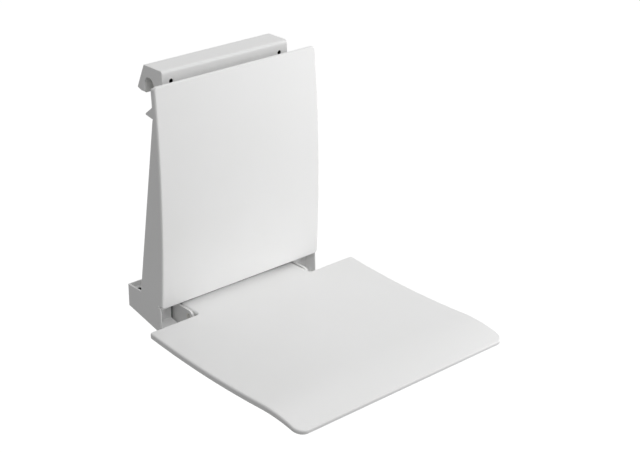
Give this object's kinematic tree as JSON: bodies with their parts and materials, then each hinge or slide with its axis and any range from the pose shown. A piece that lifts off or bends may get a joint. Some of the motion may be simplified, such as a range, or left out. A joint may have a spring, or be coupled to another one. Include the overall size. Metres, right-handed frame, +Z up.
{
  "type": "hook-in shower seat",
  "caption": "Shower seat that hooks over a grab rail: a bowed backrest on side brackets with wall buffers, and a dished seat that folds up on hinge pins.",
  "frame": {"origin": "on the axis of the grab rail, in the middle of the hook's length", "axes": "+X along the rail to the sitter's left seen from the front, -Y towards the front of the seat, +Y to the wall, +Z up"},
  "size_m": [0.45, 0.5183, 0.458],
  "materials": {
    "white_moulding": "white injection moulding with a fine satin grain",
    "white_coated_metal": "white powder coat on aluminium and steel",
    "grey_coated_steel": "grey powder coat on steel tube",
    "blackened_steel": "blackened set screws",
    "stainless_steel": "plain stainless fasteners and pins",
    "bare_aluminium": "machined aluminium",
    "white_liner": "soft white liner, matt",
    "grey_rubber": "grey rubber, matt",
    "acetal": "natural acetal, slightly waxy"
  },
  "bodies": {
    "frame": {"backrest_panel": "white_moulding", "side_bracket_left": "white_moulding", "side_bracket_right": "white_moulding", "hook_end_cap_left": "white_moulding", "hook_end_cap_right": "white_moulding", "hook_profile": "white_coated_metal", "hinge_plate_left": "white_coated_metal", "hinge_plate_right": "white_coated_metal", "upright_left": "white_coated_metal", "upright_right": "white_coated_metal", "cross_beam": "grey_coated_steel", "hook_screws": "blackened_steel", "clamp_screw_left": "blackened_steel", "clamp_screw_right": "blackened_steel", "backrest_screws": "stainless_steel", "bracket_screws": "stainless_steel", "beam_plug_left": "bare_aluminium", "beam_plug_right": "bare_aluminium", "backrest_spacers": "bare_aluminium", "rail_saddle": "white_liner", "hinge_bush_left": "acetal", "hinge_bush_right": "acetal", "stop_pad_left": "acetal", "stop_pad_right": "acetal"},
    "seat": {"seat_panel": "white_moulding", "seat_arm_left": "white_coated_metal", "seat_arm_right": "white_coated_metal", "seat_front_bar": "white_coated_metal", "seat_rear_bar": "white_coated_metal", "bar_screws": "stainless_steel", "seat_screws": "stainless_steel", "hinge_pin_left": "stainless_steel", "hinge_pin_right": "stainless_steel", "pin_clips": "stainless_steel"},
    "left_buffer": {"wall_plunger_left": "acetal", "wall_pad_left": "grey_rubber"},
    "right_buffer": {"wall_plunger_right": "acetal", "wall_pad_right": "grey_rubber"}
  },
  "joints": [
    {"name": "seat_fold", "type": "hinge", "parent": "frame", "child": "seat", "pos_m": [0, -0.08185, -0.393], "axis": [-1, 0, 0], "range_deg": [0, 90]},
    {"name": "left_buffer_slide", "type": "slide", "parent": "frame", "child": "left_buffer", "axis": [0, 1, 0], "range_m": [0, 0.02]},
    {"name": "right_buffer_slide", "type": "slide", "parent": "frame", "child": "right_buffer", "axis": [0, 1, 0], "range_m": [0, 0.02]}
  ]
}
